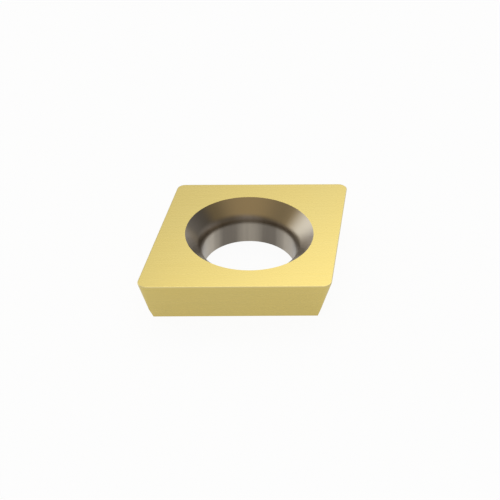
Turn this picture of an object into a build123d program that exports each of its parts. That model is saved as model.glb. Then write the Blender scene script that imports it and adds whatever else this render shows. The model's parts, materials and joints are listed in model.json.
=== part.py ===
"""Indexable turning insert: an 80 degree rhombus with relieved flanks and a countersunk screw hole."""
import os
from math import cos, radians, sin, tan

from build123d import *

# Plan of the rake face, in mm and degrees. The origin is on the hole's axis, in the seat face.
inscribed_circle = 3.97  # touches all four cutting edges, 5/32 in
corner_angle = 80  # at the front left and the back right nose
nose_radius = 0.2  # in the rake face
thickness = 0.99  # from the seat to the rake face
clearance_angle = 15  # the flanks lean in towards the seat
edge_hone = 0.02  # the cutting edges are brushed to this radius before they are coated

# Screw hole, sunk from the rake face
hole_diameter = 2.08
countersink_width = 0.38  # from the hole's wall out to the rim
countersink_angle = 90
throat_radius = 0.4  # the countersink rolls over into the hole

rake_plane = Plane.XY.offset(thickness)
hole_radius = hole_diameter / 2
countersink_depth = countersink_width / tan(radians(countersink_angle / 2))

# What is ground off round a nose, measured from its centre in the rake face
tip_depth = nose_radius / tan(radians(clearance_angle))  # here the nose has tapered to a point
past_corner = inscribed_circle
below_seat = tip_depth + thickness

# Edges and corners run anticlockwise: the left edge, the front left corner, the front edge and so on.
edge_angles = [corner_angle + 90, 270, corner_angle + 270, 90]
nose_turns = [180 - corner_angle, corner_angle, 180 - corner_angle, corner_angle]


def rhombus_corners(circle):
    """Corners in the rake face of the rhombus round a circle, from the front left one."""
    half_side = circle / sin(radians(corner_angle)) / 2
    lean = circle / tan(radians(corner_angle)) / 2
    front_left = Vector(-half_side - lean, -circle / 2)
    front_right = Vector(half_side - lean, -circle / 2)
    level = Vector(0, 0, thickness)
    return [level + corner for corner in (front_left, front_right, -front_left, -front_right)]


def flank_plane(angle):
    """The plane of the flank whose edge faces this way, in degrees from +X. It leans in below the edge."""
    outwards = Vector(1, 0).rotate(Axis.Z, angle)
    on_edge = rake_plane.origin + outwards * inscribed_circle / 2
    lean = radians(clearance_angle)
    return Plane(origin=on_edge, z_dir=outwards * cos(lean) - Vector(0, 0, sin(lean)))


with BuildPart() as carbide_insert:
    # Blank with upright sides and sharp corners
    with BuildSketch(rake_plane):
        with BuildLine():
            Polyline(*rhombus_corners(inscribed_circle), close=True)
        make_face()
    extrude(amount=-thickness)

    # Flanks, each ground flat
    for angle in edge_angles:
        split(bisect_by=flank_plane(angle), keep=Keep.BOTTOM)

    # Noses, each ground round. The wheel rolls about the nose's own axis at the flanks' clearance,
    # so a nose is part of a cone that stands on its tip, and below the tip the corner stays sharp.
    nose_centres = rhombus_corners(inscribed_circle - 2 * nose_radius)
    for centre, angle, turn in zip(nose_centres, edge_angles, nose_turns):
        outwards = Vector(1, 0).rotate(Axis.Z, angle)
        section = Plane(origin=centre, x_dir=outwards, z_dir=outwards.cross(Vector(0, 0, 1)))
        with BuildSketch(section):
            with BuildLine():
                Polyline(
                    (0, -tip_depth),
                    (nose_radius, 0),
                    (past_corner, 0),
                    (past_corner, -below_seat),
                    (0, -below_seat),
                    close=True,
                )
            make_face()
        revolve(axis=Axis(centre, (0, 0, 1)), revolution_arc=turn, mode=Mode.SUBTRACT)

    # Hone along the cutting edges and round the noses
    rake_face = carbide_insert.faces().sort_by(Axis.Z)[-1]
    fillet(rake_face.edges(), edge_hone)

    # Screw hole: its wall, throat and countersink as one profile, turned about the axis
    with BuildSketch(Plane.XZ):
        with BuildLine():
            wall = FilletPolyline(
                (hole_radius, 0),
                (hole_radius, thickness - countersink_depth),
                (hole_radius + countersink_width, thickness),
                radius=throat_radius,
            )
            Polyline(wall @ 1, (0, thickness), (0, 0), wall @ 0)
        make_face()
    revolve(axis=Axis.Z, mode=Mode.SUBTRACT)

carbide_insert.part.label = "carbide_insert"

os.makedirs("parts", exist_ok=True)
export_step(carbide_insert.part, "parts/carbide_insert.step")
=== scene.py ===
# %% [markdown]
# # A coated carbide insert
# An indexable insert is the small throw-away cutting tip of a turning tool. This one is a flat rhombus of
# cemented carbide that was pressed, sintered and ground, and then coated with gold titanium nitride. The
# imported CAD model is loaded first. It gives the main sizes, and the finished piece made below stands in its
# place.

import json
from math import asin, atan2, cos, degrees, pi, radians, sin, tan

import bmesh
import bpy
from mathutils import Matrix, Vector


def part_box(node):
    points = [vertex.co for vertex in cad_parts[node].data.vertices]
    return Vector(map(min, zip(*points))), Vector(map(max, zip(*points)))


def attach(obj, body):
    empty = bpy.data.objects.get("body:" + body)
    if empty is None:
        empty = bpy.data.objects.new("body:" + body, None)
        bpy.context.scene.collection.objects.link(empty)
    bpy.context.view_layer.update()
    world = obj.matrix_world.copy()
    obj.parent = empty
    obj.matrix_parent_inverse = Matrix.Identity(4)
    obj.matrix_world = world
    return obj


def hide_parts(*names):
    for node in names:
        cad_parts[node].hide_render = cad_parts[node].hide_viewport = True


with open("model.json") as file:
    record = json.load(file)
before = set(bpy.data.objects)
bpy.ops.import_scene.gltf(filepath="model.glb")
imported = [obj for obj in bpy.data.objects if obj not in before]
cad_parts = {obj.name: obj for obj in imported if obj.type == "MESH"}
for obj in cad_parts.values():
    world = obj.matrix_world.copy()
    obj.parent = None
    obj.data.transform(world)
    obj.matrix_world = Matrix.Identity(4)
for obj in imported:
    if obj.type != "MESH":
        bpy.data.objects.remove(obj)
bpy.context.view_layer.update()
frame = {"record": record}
MM = 0.001

# %% [markdown]
# ## Sizes
# The thickness, the clearance angle, the corner angle, the inscribed circle and the screw hole are read
# from the frame, so that the finished piece can't drift away from the solid. The mounts give each flank as
# a point and an outward direction. What the frame doesn't say is named here in millimetres: the nose
# radius, the brushed edge, the countersink and the throat that blends it into the hole.

# %% Read the sizes
mounts = {mount["name"]: mount for mount in frame["record"]["mounts"]}
front_facing = Vector(mounts["front_flank"]["axis"])
front_point = Vector(mounts["front_flank"]["pos_m"]) / MM
right_facing = Vector(mounts["right_flank"]["axis"])

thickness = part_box("carbide_insert")[1].z / MM
clearance = asin(-front_facing.z)
corner_angle = radians(90) + atan2(right_facing.y, right_facing.x)
inscribed_circle = 2 * (tan(clearance) * (thickness - front_point.z) - front_point.y)
hole_radius = mounts["screw_hole"]["dims"]["r_mm"]

nose_radius = 0.2
edge_hone = 0.02
countersink_width = 0.38
countersink_slope = radians(45)
throat_radius = 0.4
print("inscribed circle", round(inscribed_circle, 3), "mm")
print("corner", round(degrees(corner_angle), 2), "degrees")
print("clearance", round(degrees(clearance), 2), "degrees")

# %% [markdown]
# ## Noses
# The corners of the rake face are ground round, while the flanks lean in below it. So each nose is part of
# a cone that stands on its tip, and under the tip the two flanks meet in a sharp corner. A sloping edge,
# spun about the nose's own axis, makes exactly that cone. It is cut into a few lengths first, so that the
# shading follows the cone all the way down. The mesh is built with one unit to the millimetre, because
# Bevel's tolerances suit everyday sizes, and it is scaled to metres at the end.

# %% Spin the four noses
top = Vector((0, 0, thickness))
tip_depth = nose_radius / tan(clearance)
edge_facings = [corner_angle + radians(90), radians(270), corner_angle + radians(270), radians(90)]
nose_turns = [pi - corner_angle, corner_angle, pi - corner_angle, corner_angle]
nose_steps = 28
slope_cuts = 5


def rhombus_corners(circle):
    """Corners in the rake face of the rhombus round a circle, from the front left one."""
    half_side = circle / sin(corner_angle) / 2
    lean = circle / tan(corner_angle) / 2
    front_left = Vector((-half_side - lean, -circle / 2, 0))
    front_right = Vector((half_side - lean, -circle / 2, 0))
    return [top + corner for corner in (front_left, front_right, -front_left, -front_right)]


def spin_nose(bm, centre, facing, turn):
    """Spins one nose, and returns the edges at its start and its end."""
    outwards = Vector((cos(facing), sin(facing), 0))
    on_rake = bm.verts.new(centre + outwards * nose_radius)
    tip = bm.verts.new(centre - Vector((0, 0, tip_depth)))
    slope = bm.edges.new((on_rake, tip))
    cut = bmesh.ops.subdivide_edges(bm, edges=[slope], cuts=slope_cuts)["geom_split"]
    start = [part for part in cut if isinstance(part, bmesh.types.BMEdge)]
    geom = start + list({vert for edge in start for vert in edge.verts})
    spun = bmesh.ops.spin(
        bm, geom=geom, cent=centre, axis=(0, 0, 1), angle=turn, steps=nose_steps, use_duplicate=False
    )
    end = [part for part in spun["geom_last"] if isinstance(part, bmesh.types.BMEdge)]
    return start, end


bm = bmesh.new()
hone = bm.verts.layers.float.new("hone")
nose_centres = rhombus_corners(inscribed_circle - 2 * nose_radius)
noses = [spin_nose(bm, *values) for values in zip(nose_centres, edge_facings, nose_turns)]
print("noses:", len(bm.faces), "faces, tips", round(tip_depth, 3), "mm below the rake face")

# %% [markdown]
# ## Flanks and seat
# A flank is one ground plane. Bridging the end of each nose to the start of the next fills the flank down
# to the tips. The tips then form a small sharp rhombus, and extruding that down to the seat, scaled about
# the axis, carries the same planes on. The rake face and the seat are closed with one face each.

# %% Bridge the flanks and close the blank
TINY = 1e-5


def edges_at(bm, height):
    """Open edges that lie at this height."""
    return [
        edge
        for edge in bm.edges
        if len(edge.link_faces) < 2 and all(abs(vert.co.z - height) < TINY for vert in edge.verts)
    ]


for (_, end), (start, _) in zip(noses, noses[1:] + noses[:1]):
    bmesh.ops.bridge_loops(bm, edges=end + start)
bmesh.ops.remove_doubles(bm, verts=bm.verts[:], dist=TINY)

tip_loop = edges_at(bm, thickness - tip_depth)
lowered = bmesh.ops.extrude_edge_only(bm, edges=tip_loop)["geom"]
seat_corners = [part for part in lowered if isinstance(part, bmesh.types.BMVert)]
seat_scale = (inscribed_circle / 2 - thickness * tan(clearance)) / (inscribed_circle / 2 - nose_radius)
bmesh.ops.translate(bm, vec=(0, 0, tip_depth - thickness), verts=seat_corners)
bmesh.ops.scale(bm, vec=(seat_scale, seat_scale, 1), verts=seat_corners)
rake_face = bmesh.ops.contextual_create(bm, geom=edges_at(bm, thickness))["faces"][0]
bmesh.ops.contextual_create(bm, geom=edges_at(bm, 0))
bmesh.ops.recalc_face_normals(bm, faces=bm.faces[:])
print("blank:", len(bm.faces), "faces, open edges:", sum(edge.is_boundary for edge in bm.edges))

# %% [markdown]
# ## Brushed cutting edge
# A carbide edge that is left sharp would chip, so it is brushed to a radius of about 20 micrometres before
# it is coated. Bevel asks how far the new edges lie from the old one, and a fillet of radius r in a wedge
# of angle a reaches r / tan(a / 2). The rounded band is remembered in a vertex attribute, because the coat
# looks a little different there.

# %% Bevel the cutting edge
wedge_angle = radians(90) - clearance
hone_reach = edge_hone / tan(wedge_angle / 2)
hone_segments = 6

bevelled = bmesh.ops.bevel(
    bm,
    geom=rake_face.edges[:],
    offset=hone_reach,
    offset_type="OFFSET",
    segments=hone_segments,
    profile=0.5,
    affect="EDGES",
    material=-1,
)
hone_faces = set(bevelled["faces"])
for vert in bevelled["verts"]:
    vert[hone] = float(all(face in hone_faces for face in vert.link_faces))
print("brushed edge:", len(hone_faces), "faces, reaching", round(hone_reach, 4), "mm")

# %% [markdown]
# ## Screw hole
# The hole is formed by the core rod of the press, a turned part, so its wall, throat and countersink are
# one profile that is spun about the axis. The throat is itself an arc, and a spin of its own makes it: a
# point on the wall turned about the arc's centre. The rake face and the seat are opened and filled again
# around the new rims.

# %% Spin the screw hole
throat_centre = Vector((hole_radius + throat_radius, 0, 0))
countersink_depth = countersink_width / tan(countersink_slope)
throat_centre.z = thickness - countersink_depth - throat_radius * tan(countersink_slope / 2)
throat_steps = 16
hole_steps = 192
nearly_level = 0.999

ends = [face for face in bm.faces if abs(face.normal.z) > nearly_level]
bmesh.ops.delete(bm, geom=ends, context="FACES_ONLY")
before = set(bm.edges)
at_seat = bm.verts.new((hole_radius, 0, 0))
at_throat = bm.verts.new((hole_radius, 0, throat_centre.z))
at_rim = bm.verts.new((hole_radius + countersink_width, 0, thickness))
bm.edges.new((at_seat, at_throat))
arc = bmesh.ops.spin(
    bm, geom=[at_throat], cent=throat_centre, axis=(0, 1, 0), angle=countersink_slope, steps=throat_steps
)
arc_end = next(part for part in arc["geom_last"] if isinstance(part, bmesh.types.BMVert))
bm.edges.new((arc_end, at_rim))
profile = [edge for edge in bm.edges if edge not in before]
print("throat ends at", [round(value, 3) for value in arc_end.co], "mm")

geom = profile + list({vert for edge in profile for vert in edge.verts})
bmesh.ops.spin(bm, geom=geom, cent=(0, 0, 0), axis=(0, 0, 1), angle=2 * pi, steps=hole_steps, use_merge=True)
hole_faces = [face for face in bm.faces if all(vert.co.xy.length < at_rim.co.x + TINY for vert in face.verts)]
for height in (thickness, 0):
    bmesh.ops.triangle_fill(bm, use_beauty=True, use_dissolve=False, edges=edges_at(bm, height))
bmesh.ops.remove_doubles(bm, verts=bm.verts[:], dist=TINY)
bmesh.ops.recalc_face_normals(bm, faces=bm.faces[:])
print("insert:", len(bm.faces), "faces, open edges:", sum(edge.is_boundary for edge in bm.edges))
print("volume", round(bm.calc_volume(), 3), "mm3")

# %% [markdown]
# ## Shading
# A ground plane has to shade dead flat right up to its round nose, and smooth shading would bend its light
# there. So the planes are left flat shaded, and only what is round is smooth: the noses, the brushed edge
# and the hole. Where a round meets a plane at an angle, as at the rims of the hole, the edge between them
# is marked sharp. Each kind of surface also takes its own material slot, because each was finished in
# another way.

# %% Sort the faces
GROUND_FLANK, LAPPED_FACE, BARE_HOLE = range(3)
same_plane = radians(0.2)
sharp_turn = radians(30)
flank_normals = [
    Vector((cos(facing) * cos(clearance), sin(facing) * cos(clearance), -sin(clearance)))
    for facing in edge_facings
]

for face in bm.faces:
    on_flank = any(face.normal.angle(normal) < same_plane for normal in flank_normals)
    level = abs(face.normal.z) > cos(same_plane)
    face.smooth = not (on_flank or level)
    face.material_index = LAPPED_FACE if level else GROUND_FLANK
for face in hole_faces:
    face.material_index = BARE_HOLE
for edge in bm.edges:
    edge.smooth = edge.calc_face_angle() < sharp_turn
print("flat faces:", sum(not face.smooth for face in bm.faces))

bmesh.ops.scale(bm, vec=(MM, MM, MM), verts=bm.verts[:])
mesh = bpy.data.meshes.new("coated_insert")
bm.to_mesh(mesh)
bm.free()
insert = bpy.data.objects.new("coated_insert", mesh)
bpy.context.scene.collection.objects.link(insert)
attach(insert, "root")
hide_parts("carbide_insert")
print("triangles:", sum(len(polygon.vertices) - 2 for polygon in mesh.polygons))

# %% [markdown]
# ## Helpers for materials
# Colours are written as the hex values that a colour picker shows and turned to linear light. One small
# function adds a node, sets its properties and fills or links its inputs, so that a material reads from top
# to bottom.


# %% Colours and nodes
def linear(hex_colour):
    """Turns an sRGB hex colour into the linear colour that a shader wants."""
    channels = [int(hex_colour[i : i + 2], 16) / 255 for i in (1, 3, 5)]
    return [c / 12.92 if c <= 0.04045 else ((c + 0.055) / 1.055) ** 2.4 for c in channels] + [1]


def add_node(tree, kind, inputs=None, **settings):
    """Adds a node. An input is given a value, or is linked when the value is another node's output."""
    node = tree.nodes.new(kind)
    for name, value in settings.items():
        setattr(node, name, value)
    for name, value in (inputs or {}).items():
        if isinstance(value, bpy.types.NodeSocket):
            tree.links.new(value, node.inputs[name])
        else:
            node.inputs[name].default_value = value
    return node


def new_material(name):
    """A material whose node tree is still empty."""
    material = bpy.data.materials.new(name)
    material.use_nodes = True
    material.node_tree.nodes.clear()
    return material


print("mid grey in linear light:", round(linear("#808080")[0], 3))

# %% [markdown]
# ## Gold coat on the ground faces
# The coat is titanium nitride, two or three micrometres of it, laid down from a vapour. To the eye it is a
# true metal: all its colour is in its reflections, a pale gold with a satin gloss. So Metallic is 1, and
# the IOR stays at its default. The coat copies the grinding lines of the carbide under it. On the flanks
# they run along the cutting edge and on the rake face from left to right, so a noise pattern is drawn out
# along them, and it moves the colour, the roughness and the height by a little. Real lines are a few
# micrometres apart. These are about ten times coarser, because finer ones wouldn't show in the render. A
# second, broad pattern lets the thickness of the coat drift. On the brushed edge, where the tool works, the
# coat is the first to wear: paler and duller.

# %% Titanium nitride
LINE_SPACING = 0.03 * MM
LINE_DEPTH = 0.001 * MM
LINE_RELIEF = 0.09
DRAWN_OUT = 0.012  # along the lines the noise changes this much more slowly than across them
DRIFT_WIDTH = 1.2 * MM
WORN_COAT = "#EBDA9A"
WORN_DULLER = 0.08  # what wear adds to the roughness
# Of each pair, the first is in the grooves of the lines and the second on their ridges.
THIN_COAT = "#E4D080", "#EAD689"
THICK_COAT = "#E7D07D", "#ECD684"
GROUND_ROUGHNESS = 0.255, 0.285


def titanium_nitride(name, pace):
    """Gold coat over ground carbide. The pace says how fast its lines change along each axis."""
    material = new_material(name)
    tree = material.node_tree
    place = add_node(tree, "ShaderNodeTexCoord")
    along = add_node(
        tree,
        "ShaderNodeMapping",
        {"Vector": place.outputs["Object"], "Scale": [rate / LINE_SPACING for rate in pace]},
    )
    lines = add_node(tree, "ShaderNodeTexNoise", {"Vector": along.outputs["Vector"], "Scale": 1, "Detail": 1})
    drift = add_node(
        tree, "ShaderNodeTexNoise", {"Vector": place.outputs["Object"], "Scale": 1 / DRIFT_WIDTH, "Detail": 1}
    )
    worn = add_node(tree, "ShaderNodeAttribute", attribute_name="hone")
    thin = add_node(
        tree,
        "ShaderNodeMix",
        {"Factor": lines.outputs["Fac"], "A": linear(THIN_COAT[0]), "B": linear(THIN_COAT[1])},
        data_type="RGBA",
    )
    thick = add_node(
        tree,
        "ShaderNodeMix",
        {"Factor": lines.outputs["Fac"], "A": linear(THICK_COAT[0]), "B": linear(THICK_COAT[1])},
        data_type="RGBA",
    )
    coat = add_node(
        tree,
        "ShaderNodeMix",
        {"Factor": drift.outputs["Fac"], "A": thin.outputs["Result"], "B": thick.outputs["Result"]},
        data_type="RGBA",
    )
    edge = add_node(
        tree,
        "ShaderNodeMix",
        {"Factor": worn.outputs["Fac"], "A": coat.outputs["Result"], "B": linear(WORN_COAT)},
        data_type="RGBA",
    )
    roughness = add_node(
        tree,
        "ShaderNodeMapRange",
        {
            "Value": lines.outputs["Fac"],
            "To Min": GROUND_ROUGHNESS[0],
            "To Max": GROUND_ROUGHNESS[1],
        },
    )
    edge_roughness = add_node(
        tree,
        "ShaderNodeMath",
        {0: worn.outputs["Fac"], 1: WORN_DULLER, 2: roughness.outputs["Result"]},
        operation="MULTIPLY_ADD",
    )
    relief = add_node(
        tree,
        "ShaderNodeBump",
        {"Height": lines.outputs["Fac"], "Strength": LINE_RELIEF, "Distance": LINE_DEPTH},
    )
    shader = add_node(
        tree,
        "ShaderNodeBsdfPrincipled",
        {
            "Base Color": edge.outputs["Result"],
            "Metallic": 1,
            "Roughness": edge_roughness.outputs[0],
            "Normal": relief.outputs["Normal"],
        },
    )
    add_node(tree, "ShaderNodeOutputMaterial", {"Surface": shader.outputs["BSDF"]})
    return material


ground_flank = titanium_nitride("titanium_nitride_on_ground_flank", (DRAWN_OUT, DRAWN_OUT, 1))
lapped_face = titanium_nitride("titanium_nitride_on_lapped_face", (DRAWN_OUT, 1, 1))
print("gold materials:", ground_flank.name, "and", lapped_face.name)

# %% [markdown]
# ## Bare carbide in the hole
# The vapour of the coating furnace hardly reaches into the hole, so the sintered carbide shows there: a
# dull grey metal with a warm cast. Its wall has faint upright streaks that the core rod of the press left,
# and over them soft upright bands of painted reflection: lighter and darker stripes of light round the hole,
# painted into the colour. The bands are cosines of the angle round the hole's axis, and the streaks are a
# noise that is drawn out upwards, so both stay in place when the part is turned.

# %% Streaks and painted bands on the wall
# The bands are painted reflection: upright stripes of light and shade round the hole, put into the colour.
PAINTED_BANDS = ((6, 0.45), (2, -0.3))  # how many there are round the hole, and how far they move the colour
STREAK_WIDTH = 0.12 * MM
STREAK_PACE = 0.05  # upwards the noise changes this much more slowly than across the streaks
STREAK_RANGE = 0.3, 0.7  # where the streaks lie between the two colours of the wall
DARK_WALL, PALE_WALL = "#786F63", "#C4BAAA"

bare = new_material("sintered_carbide")
tree = bare.node_tree
place = add_node(tree, "ShaderNodeTexCoord")
split = add_node(tree, "ShaderNodeSeparateXYZ", {"Vector": place.outputs["Object"]})
turn = add_node(tree, "ShaderNodeMath", {0: split.outputs["X"], 1: split.outputs["Y"]}, operation="ARCTAN2")
drawn = add_node(
    tree,
    "ShaderNodeMapping",
    {"Vector": place.outputs["Object"], "Scale": [rate / STREAK_WIDTH for rate in (1, 1, STREAK_PACE)]},
)
streaks = add_node(tree, "ShaderNodeTexNoise", {"Vector": drawn.outputs["Vector"], "Scale": 1, "Detail": 1})
faint = add_node(
    tree,
    "ShaderNodeMapRange",
    {"Value": streaks.outputs["Fac"], "To Min": STREAK_RANGE[0], "To Max": STREAK_RANGE[1]},
)
streaks_and_painted_bands = faint.outputs["Result"]
for count, strength in PAINTED_BANDS:
    turns = add_node(tree, "ShaderNodeMath", {0: turn.outputs[0], 1: count}, operation="MULTIPLY")
    wave = add_node(tree, "ShaderNodeMath", {0: turns.outputs[0]}, operation="COSINE")
    added = add_node(
        tree, "ShaderNodeMath", {0: wave.outputs[0], 1: strength, 2: streaks_and_painted_bands}, operation="MULTIPLY_ADD"
    )
    streaks_and_painted_bands = added.outputs[0]
# The wall's colour carries the real streaks and the painted reflection of the bands.
wall = add_node(
    tree,
    "ShaderNodeMix",
    {"Factor": streaks_and_painted_bands, "A": linear(DARK_WALL), "B": linear(PALE_WALL)},
    data_type="RGBA",
)
print("wall marks:", " and ".join(f"{count} bands" for count, _ in PAINTED_BANDS))

# %% [markdown]
# ## Throat, film and finish
# The bands run on into the throat, whose darker colour is painted shade where the surface turns in. The
# countersink carries a thin film, grey in front and brown at the back, where the brown also paints a warm
# reflection. Round the hole the film carries painted light as well: painted shade on the left and a painted
# highlight on the right. A helper lays one colour over another between two values of a measure, such as the
# height above the seat.
# Over the metal lies a clear coat, which stands for the oxide: it puts a whitish gloss on the sides that
# are seen at a slant. The surface was never ground, so it has the fine pits of its grain. They are drawn at
# 0.02 mm, some twenty times coarser than real ones, because finer ones wouldn't show.

# %% Sintered carbide
# Where each tone begins to show and where it is full. The first two are heights above the seat, the next
# two are sines of the angle round the hole, and the last one lies between the back and the front.
THROAT = 0.49 * MM, 0.60 * MM
FILM = 0.60 * MM, 0.71 * MM
# The film's brown partly paints a warm reflection, and its pale tone is a painted highlight.
BROWN_AND_SHEEN_SPAN = -1.0, -0.9
PAINTED_HIGHLIGHT_SPAN = 0.36, 0.76
GREY_FILM = 0.3 * MM, -0.3 * MM
# This turn places the film's painted shade and painted highlight round the hole.
PAINTED_LIGHT_TURN = radians(-25)  # the dark side lies this far behind the left
FILM_TILT = 0.06 * MM  # on the pale side the film reaches this much lower

# The throat's colours are darker than the wall's: painted shade where the surface turns in.
DARK_THROAT, PALE_THROAT = "#54442A", "#86796A"
# The film: painted shade on the left, a brown that partly paints a warm reflection at the back, a painted
# highlight on the right, and grey in front.
FILM_PAINTED_SHADE, FILM_BROWN_AND_WARM_SHEEN, FILM_PAINTED_HIGHLIGHT, GREY = "#574C3B", "#806A3E", "#BCB29E", "#A9A095"  # the tones of the film
GRAIN_WIDTH = 0.02 * MM
GRAIN_DEPTH = 0.0005 * MM
GRAIN_RELIEF = 0.25
SINTERED_ROUGHNESS = 0.31, 0.37
OXIDE_ROUGHNESS = 0.3
OXIDE_IOR = 1.6


def laid_over(surface, measure, layers):
    """Lays colours over a surface, each of which fades in between two values of the measure."""
    for (start, end), colour in layers:
        share = add_node(
            tree,
            "ShaderNodeMapRange",
            {"Value": measure, "From Min": start, "From Max": end},
            interpolation_type="SMOOTHSTEP",
        )
        mixed = add_node(
            tree,
            "ShaderNodeMix",
            {"Factor": share.outputs["Result"], "A": surface, "B": colour},
            data_type="RGBA",
        )
        surface = mixed.outputs["Result"]
    return surface


# Painted shade in the throat, banded like the wall.
painted_throat_shade = add_node(
    tree,
    "ShaderNodeMix",
    {"Factor": streaks_and_painted_bands, "A": linear(DARK_THROAT), "B": linear(PALE_THROAT)},
    data_type="RGBA",
)
turned = add_node(tree, "ShaderNodeMath", {0: turn.outputs[0], 1: PAINTED_LIGHT_TURN}, operation="ADD")
side = add_node(tree, "ShaderNodeMath", {0: turned.outputs[0]}, operation="SINE")
height = add_node(
    tree,
    "ShaderNodeMath",
    {0: side.outputs[0], 1: FILM_TILT, 2: split.outputs["Z"]},
    operation="MULTIPLY_ADD",
)
# The film's painted light, laid over its painted shade by the side round the hole.
tones = [(BROWN_AND_SHEEN_SPAN, linear(FILM_BROWN_AND_WARM_SHEEN)), (PAINTED_HIGHLIGHT_SPAN, linear(FILM_PAINTED_HIGHLIGHT))]
film_and_painted_light = laid_over(linear(FILM_PAINTED_SHADE), side.outputs[0], tones)
film_and_painted_light = laid_over(film_and_painted_light, split.outputs["Y"], [(GREY_FILM, linear(GREY))])
surface = laid_over(wall.outputs["Result"], split.outputs["Z"], [(THROAT, painted_throat_shade.outputs["Result"])])
surface = laid_over(surface, height.outputs[0], [(FILM, film_and_painted_light)])
grain = add_node(
    tree, "ShaderNodeTexNoise", {"Vector": place.outputs["Object"], "Scale": 1 / GRAIN_WIDTH, "Detail": 2}
)
roughness = add_node(
    tree,
    "ShaderNodeMapRange",
    {
        "Value": grain.outputs["Fac"],
        "To Min": SINTERED_ROUGHNESS[0],
        "To Max": SINTERED_ROUGHNESS[1],
    },
)
skin = add_node(
    tree,
    "ShaderNodeBump",
    {"Height": grain.outputs["Fac"], "Strength": GRAIN_RELIEF, "Distance": GRAIN_DEPTH},
)
shader = add_node(
    tree,
    "ShaderNodeBsdfPrincipled",
    {
        "Base Color": surface,
        "Metallic": 1,
        "Roughness": roughness.outputs["Result"],
        "Normal": skin.outputs["Normal"],
        "Coat Weight": 1,
        "Coat Roughness": OXIDE_ROUGHNESS,
        "Coat IOR": OXIDE_IOR,
    },
)
add_node(tree, "ShaderNodeOutputMaterial", {"Surface": shader.outputs["BSDF"]})

for material in (ground_flank, lapped_face, bare):
    insert.data.materials.append(material)
print("materials on the insert:", [material.name for material in insert.data.materials])

# %% [markdown]
# ## Floor
# The insert lies on a sheet of white paper that fills the picture. The paper is matt, so it takes the
# insert's soft shadow. A glow is mixed into it, mostly for the rays that come from the camera, where a
# strength of 1 is plain white in the picture. The flanks are mirrors that look down at the paper, so the
# rays that come from metal or through glass are given its glow too, at the brightness of a lit sheet. The
# glow is only for rays that look: it lights nothing.

# %% White paper
FLOOR_HALF_SIZE = 200 * MM
PAPER = 0.85  # the share of the light that it gives back
SEEN_GLOW = 0.94  # the share of the glow in what the camera sees
MIRRORED_GLOW = 0.7  # its share in what metal and glass see
LIT_PAPER = 0.75  # how bright the glow is to them

bm = bmesh.new()
bmesh.ops.create_grid(bm, x_segments=1, y_segments=1, size=FLOOR_HALF_SIZE)
mesh = bpy.data.meshes.new("floor")
bm.to_mesh(mesh)
bm.free()
floor = bpy.data.objects.new("floor", mesh)
bpy.context.scene.collection.objects.link(floor)

paper = new_material("white_paper")
tree = paper.node_tree
path = add_node(tree, "ShaderNodeLightPath")
matt = add_node(tree, "ShaderNodeBsdfDiffuse", {"Color": [PAPER, PAPER, PAPER, 1]})
level = add_node(
    tree, "ShaderNodeMapRange", {"Value": path.outputs["Is Camera Ray"], "To Min": LIT_PAPER, "To Max": 1}
)
glow = add_node(tree, "ShaderNodeEmission", {"Color": [1, 1, 1, 1], "Strength": level.outputs["Result"]})
share = add_node(
    tree, "ShaderNodeMath", {0: path.outputs["Is Camera Ray"], 1: SEEN_GLOW}, operation="MULTIPLY"
)
for ray in ("Is Glossy Ray", "Is Transmission Ray"):
    share = add_node(
        tree,
        "ShaderNodeMath",
        {0: path.outputs[ray], 1: MIRRORED_GLOW, 2: share.outputs[0]},
        operation="MULTIPLY_ADD",
    )
both = add_node(
    tree, "ShaderNodeMixShader", {0: share.outputs[0], 1: matt.outputs["BSDF"], 2: glow.outputs["Emission"]}
)
add_node(tree, "ShaderNodeOutputMaterial", {"Surface": both.outputs["Shader"]})
floor.data.materials.append(paper)
print("floor:", [round(side / MM) for side in floor.dimensions[:2]], "mm")

# %% [markdown]
# ## Studio light
# A metal shows what is round it, so the light is painted into the world: an even level from everywhere, and
# soft patches on top of it, like the diffusers and cards round a product table. Each patch is a direction
# with two angles: full strength within the first, nothing beyond the second. The dot product of two
# directions is the cosine of the angle between them, so a few nodes make a patch. The rake face mirrors the
# first one, high behind it, which gives it its slow gradient. Each side of the countersink mirrors the
# patch across from it, and the last one has a strength below zero and takes light away, as a black card
# does. No place in the studio is much brighter than white paper in good light, so the gold keeps its colour
# from every side. The camera itself sees plain white.

# %% Studio world
EVEN_LIGHT = 0.6
patches = [
    # azimuth from the far side towards the right, elevation, full within, none beyond, tint, strength
    (18, 55, 18, 27, "#FFFEF7", 0.93),
    (180, 64, 5, 42, "#FFF0CC", 0.45),
    (-62, 14, 16, 34, "#FFFFFF", 0.75),
    (30, 10, 5, 30, "#FFFFFF", 0.20),
    (86, 41, 5, 29, "#FFFFFF", -0.25),
]


def direction(azimuth, elevation):
    """Unit vector to a place in the studio, in degrees."""
    a, e = radians(azimuth), radians(elevation)
    return Vector((sin(a) * cos(e), cos(a) * cos(e), sin(e)))


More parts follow.
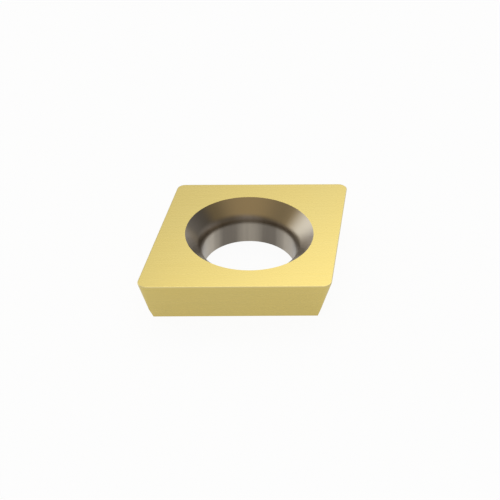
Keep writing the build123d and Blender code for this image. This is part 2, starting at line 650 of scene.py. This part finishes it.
world = bpy.data.worlds.new("studio")
bpy.context.scene.world = world
world.use_nodes = True
tree = world.node_tree
tree.nodes.clear()
place = add_node(tree, "ShaderNodeTexCoord")
light = [EVEN_LIGHT] * 3
for azimuth, elevation, inner, outer, tint, strength in patches:
    facing = add_node(
        tree,
        "ShaderNodeVectorMath",
        {0: place.outputs["Generated"], 1: direction(azimuth, elevation)},
        operation="DOT_PRODUCT",
    )
    share = add_node(
        tree,
        "ShaderNodeMapRange",
        {
            "Value": facing.outputs["Value"],
            "From Min": cos(radians(outer)),
            "From Max": cos(radians(inner)),
        },
        interpolation_type="SMOOTHSTEP",
    )
    colour = [channel * strength for channel in linear(tint)[:3]]
    patch = add_node(
        tree,
        "ShaderNodeVectorMath",
        {0: colour, 1: share.outputs["Result"], 2: light},
        operation="MULTIPLY_ADD",
    )
    light = patch.outputs["Vector"]
path = add_node(tree, "ShaderNodeLightPath")
studio = add_node(tree, "ShaderNodeBackground", {"Color": light, "Strength": 1})
white = add_node(tree, "ShaderNodeBackground", {"Color": [1, 1, 1, 1], "Strength": 1})
seen = add_node(
    tree,
    "ShaderNodeMixShader",
    {0: path.outputs["Is Camera Ray"], 1: studio.outputs["Background"], 2: white.outputs["Background"]},
)
add_node(tree, "ShaderNodeOutputWorld", {"Surface": seen.outputs["Shader"]})
bpy.context.scene.view_settings.view_transform = "Standard"
print("studio:", len(patches), "patches over an even light of", EVEN_LIGHT)

# %% [markdown]
# ## Camera
# The camera stands where the photograph was taken from: almost square to the front flank and about 36
# degrees up. Its direction, its distance and its lens come from a fit, in which the corners of the rhombus,
# the rims of the hole and the foot of the flank all had to fall where they are in the picture. It looks at
# a point in the rake face, a little in front of the hole. The insert is small, so the near clip comes down
# to a millimetre.

# %% Camera
target = Vector((0.0095, -0.693, thickness)) * MM
camera_azimuth = 180.503  # degrees, counted as for the patches of light
camera_elevation = 35.813
distance = 20.555 * MM
focal_length = 68.72
sensor_width = 36
near_clip = 1 * MM

towards_camera = direction(camera_azimuth, camera_elevation)
lens = bpy.data.cameras.new("camera")
lens.lens = focal_length
lens.sensor_width = sensor_width
lens.clip_start = near_clip
camera = bpy.data.objects.new("camera", lens)
camera.location = target + towards_camera * distance
camera.rotation_euler = (-towards_camera).to_track_quat("-Z", "Y").to_euler()
bpy.context.scene.collection.objects.link(camera)
bpy.context.scene.camera = camera
print("camera at", [round(value / MM, 2) for value in camera.location], "mm")
print("field of view", round(degrees(lens.angle), 1), "degrees")
